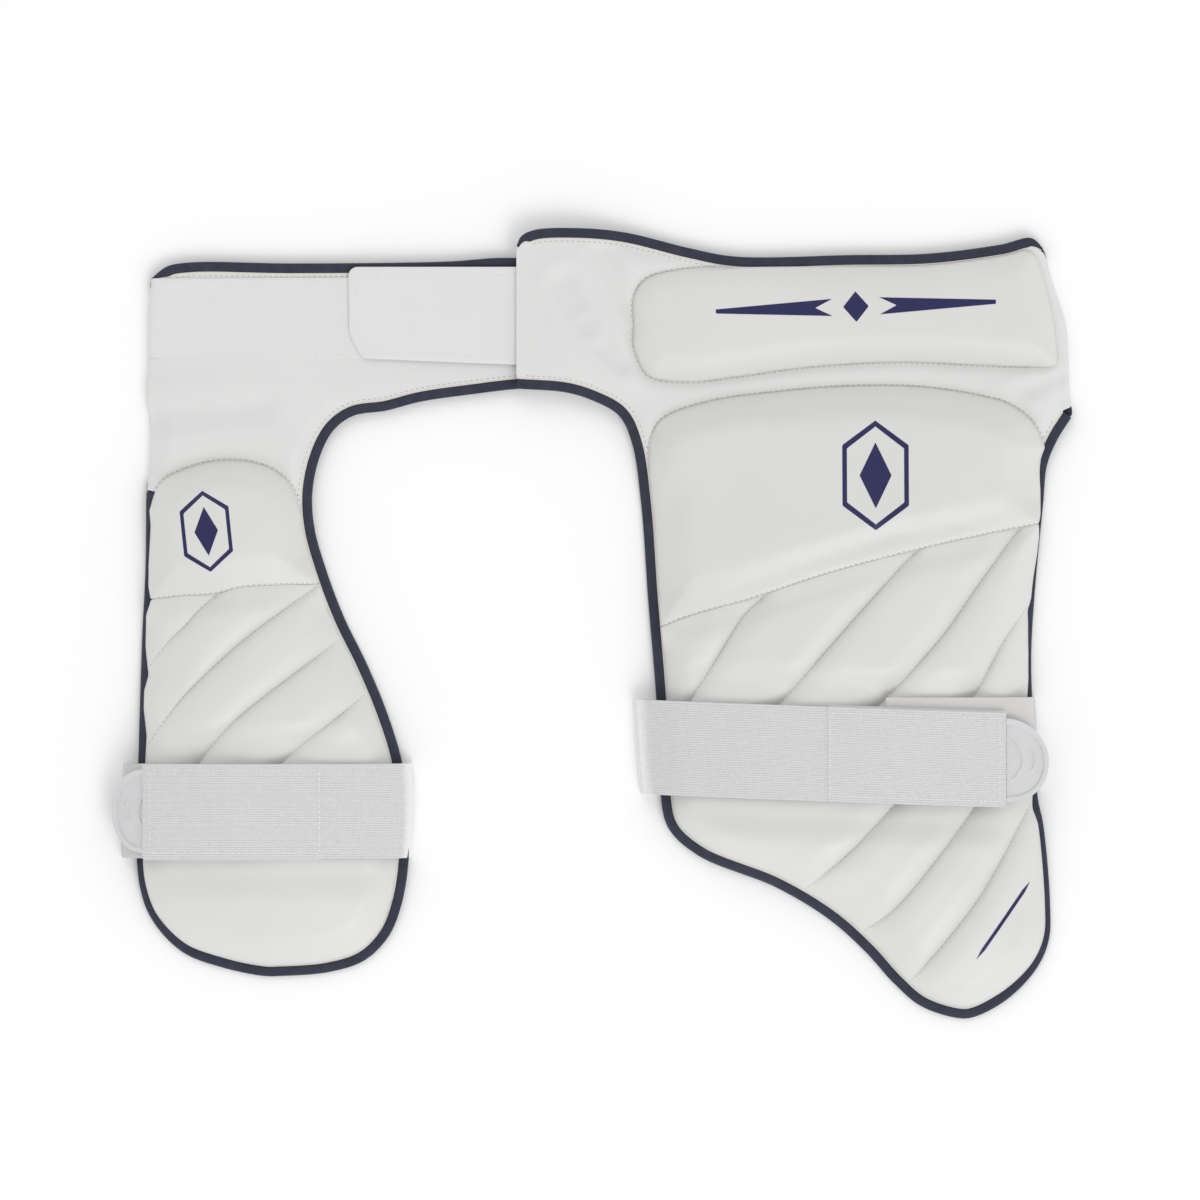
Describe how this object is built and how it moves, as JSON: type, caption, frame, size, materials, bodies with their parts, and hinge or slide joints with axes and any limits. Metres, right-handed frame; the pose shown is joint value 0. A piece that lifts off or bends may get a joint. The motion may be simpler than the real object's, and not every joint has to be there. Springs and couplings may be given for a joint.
{
  "type": "cricket thigh guard set",
  "caption": "Padded outer and inner thigh guards lying on their back, joined by a hook-and-loop waist band, each with an elastic thigh strap and pull tab.",
  "frame": {"origin": "on the floor, below the middle of the whole set's box", "axes": "+Z out of the pads' faces, away from the floor; +Y towards the waist; +X from the inner guard to the outer guard"},
  "size_m": [0.5084, 0.4184, 0.0355],
  "materials": {
    "leather": "semi-matte",
    "fabric": "matte",
    "binding": "matte",
    "elastic": "matte",
    "moulded": "satin",
    "loop": "matte"
  },
  "bodies": {
    "root": {"outer_base": "fabric", "outer_top_binding": "binding", "outer_edge_binding": "binding", "outer_hip_pad": "leather", "outer_thigh_block": "leather", "outer_ribbed_pad": "leather", "outer_lower_pad": "leather", "inner_base": "fabric", "inner_top_binding": "binding", "inner_edge_binding": "binding", "inner_upper_block": "leather", "inner_ribbed_pad": "leather", "inner_lower_pad": "leather", "outer_strap": "elastic", "outer_pull_tab": "moulded", "outer_loop_patch": "loop", "inner_strap": "elastic", "inner_pull_tab": "moulded", "inner_loop_patch": "loop", "waist_loop_panel": "loop", "waist_hook_tab": "fabric", "back_band": "fabric", "back_band_top_binding": "binding", "back_band_bottom_binding": "binding"}
  },
  "joints": []
}
